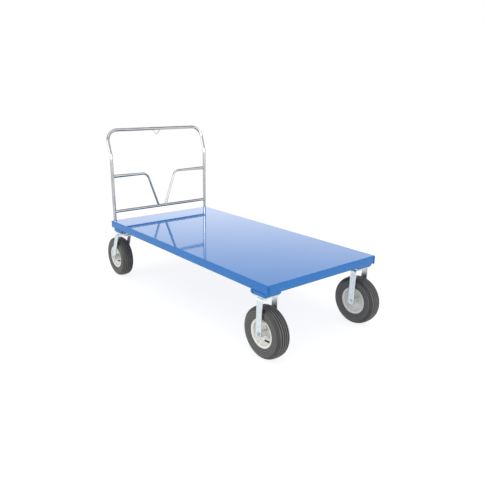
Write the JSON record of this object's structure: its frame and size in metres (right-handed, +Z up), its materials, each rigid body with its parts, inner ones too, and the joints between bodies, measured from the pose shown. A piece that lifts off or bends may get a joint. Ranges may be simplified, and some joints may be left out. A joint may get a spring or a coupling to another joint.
{
  "type": "platform truck",
  "caption": "Large flat platform truck with a folded sheet deck, pneumatic casters, two rigid and two swivelling, and a lift-out bent tube push handle.",
  "frame": {"origin": "on the floor under the middle of the truck's overall length and width", "axes": "+X towards the rigid casters (front), -X towards the handle, +Y to the left, +Z up"},
  "size_m": [2.08, 0.943, 1.1594],
  "materials": {
    "blue_enamel": "smooth high gloss blue powder enamel",
    "bright_tube": "bright plated steel tube",
    "zinc_plate": "bright zinc plate, faintly blue",
    "cream_rim": "satin off-white enamel",
    "tyre_rubber": "matte dark grey rubber with fine rib tread",
    "valve_rubber": "black rubber-covered valve",
    "grey_steel": "plain machined steel"
  },
  "bodies": {
    "chassis": {"deck_sheet": "blue_enamel", "front_caster_channel": "blue_enamel", "front_middle_channel": "blue_enamel", "rear_middle_channel": "blue_enamel", "rear_caster_channel": "blue_enamel", "left_handle_socket": "blue_enamel", "right_handle_socket": "blue_enamel", "front_right_caster_shoe": "blue_enamel", "front_right_caster_plate": "zinc_plate", "front_left_caster_shoe": "blue_enamel", "front_left_caster_plate": "zinc_plate", "rear_right_caster_shoe": "blue_enamel", "rear_right_caster_plate": "zinc_plate", "rear_left_caster_shoe": "blue_enamel", "rear_left_caster_plate": "zinc_plate", "front_right_fork": "zinc_plate", "front_right_axle_bolt": "zinc_plate", "front_right_axle_nut": "zinc_plate", "front_right_axle_sleeve": "grey_steel", "front_left_fork": "zinc_plate", "front_left_axle_bolt": "zinc_plate", "front_left_axle_nut": "zinc_plate", "front_left_axle_sleeve": "grey_steel", "rear_right_swivel_race": "zinc_plate", "rear_right_kingpin": "grey_steel", "rear_left_swivel_race": "zinc_plate", "rear_left_kingpin": "grey_steel"},
    "handle": {"handle_tube": "bright_tube", "handle_lower_rail": "bright_tube", "handle_left_brace": "bright_tube", "handle_right_brace": "bright_tube", "handle_hang_loop": "bright_tube"},
    "rear_right_swivel": {"rear_right_fork": "zinc_plate", "rear_right_axle_bolt": "zinc_plate", "rear_right_axle_nut": "zinc_plate", "rear_right_axle_sleeve": "grey_steel"},
    "rear_left_swivel": {"rear_left_fork": "zinc_plate", "rear_left_axle_bolt": "zinc_plate", "rear_left_axle_nut": "zinc_plate", "rear_left_axle_sleeve": "grey_steel"},
    "front_right_wheel": {"front_right_tyre": "tyre_rubber", "front_right_rim": "cream_rim", "front_right_hub": "grey_steel", "front_right_valve_stem": "valve_rubber"},
    "front_left_wheel": {"front_left_tyre": "tyre_rubber", "front_left_rim": "cream_rim", "front_left_hub": "grey_steel", "front_left_valve_stem": "valve_rubber"},
    "rear_right_wheel": {"rear_right_tyre": "tyre_rubber", "rear_right_rim": "cream_rim", "rear_right_hub": "grey_steel", "rear_right_valve_stem": "valve_rubber"},
    "rear_left_wheel": {"rear_left_tyre": "tyre_rubber", "rear_left_rim": "cream_rim", "rear_left_hub": "grey_steel", "rear_left_valve_stem": "valve_rubber"}
  },
  "joints": [
    {"name": "handle_lift", "type": "slide", "parent": "chassis", "child": "handle", "axis": [0, 0, 1], "range_m": [0, 0.08]},
    {"name": "rear_right_swivel_turn", "type": "hinge", "parent": "chassis", "child": "rear_right_swivel", "pos_m": [-0.7775, -0.3962, 0.3575], "axis": [0, 0, 1], "continuous": true},
    {"name": "rear_left_swivel_turn", "type": "hinge", "parent": "chassis", "child": "rear_left_swivel", "pos_m": [-0.7775, 0.3962, 0.3575], "axis": [0, 0, 1], "continuous": true},
    {"name": "front_right_wheel_turn", "type": "hinge", "parent": "chassis", "child": "front_right_wheel", "pos_m": [0.8835, -0.3962, 0.1565], "axis": [0, 1, 0], "continuous": true},
    {"name": "front_left_wheel_turn", "type": "hinge", "parent": "chassis", "child": "front_left_wheel", "pos_m": [0.8835, 0.3962, 0.1565], "axis": [0, 1, 0], "continuous": true},
    {"name": "rear_right_wheel_turn", "type": "hinge", "parent": "rear_right_swivel", "child": "rear_right_wheel", "pos_m": [-0.8835, -0.3962, 0.1565], "axis": [0, 1, 0], "continuous": true},
    {"name": "rear_left_wheel_turn", "type": "hinge", "parent": "rear_left_swivel", "child": "rear_left_wheel", "pos_m": [-0.8835, 0.3962, 0.1565], "axis": [0, 1, 0], "continuous": true}
  ]
}
